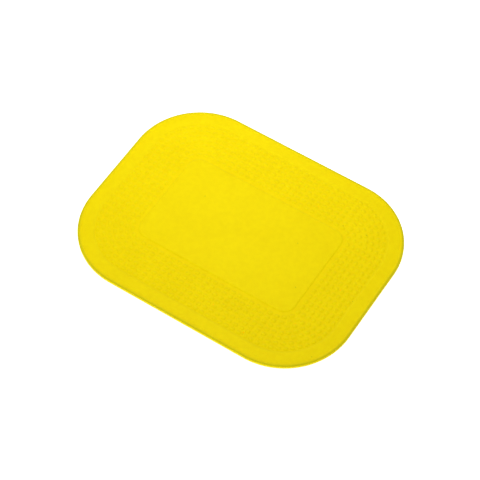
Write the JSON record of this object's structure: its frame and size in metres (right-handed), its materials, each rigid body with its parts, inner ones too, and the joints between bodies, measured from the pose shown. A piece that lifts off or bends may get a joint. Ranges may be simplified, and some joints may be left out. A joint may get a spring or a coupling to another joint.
{
  "type": "anti-slip table mat",
  "caption": "Thin flat anti-slip mat with a rounded-rectangle outline, a lipped smooth border, rows of grip studs and a smooth centre panel.",
  "frame": {"origin": "middle of the underside, which lies flat at z = 0", "axes": "+X along the mat's length, +Y across it, +Z out of the studded face"},
  "size_m": [0.25, 0.192, 0.0032],
  "materials": {
    "sheet": "satin moulded silicone, slightly translucent",
    "smooth_skin": "smooth satin moulded silicone",
    "stud_skin": "finely studded moulded silicone"
  },
  "bodies": {
    "root": {"base_sheet": "sheet", "edge_lip": "smooth_skin", "smooth_border": "smooth_skin", "centre_panel": "smooth_skin", "stud_row_1": "stud_skin", "stud_row_2": "stud_skin", "stud_row_3": "stud_skin", "stud_row_4": "stud_skin", "stud_row_5": "stud_skin", "stud_row_6": "stud_skin", "stud_row_7": "stud_skin"}
  },
  "joints": []
}
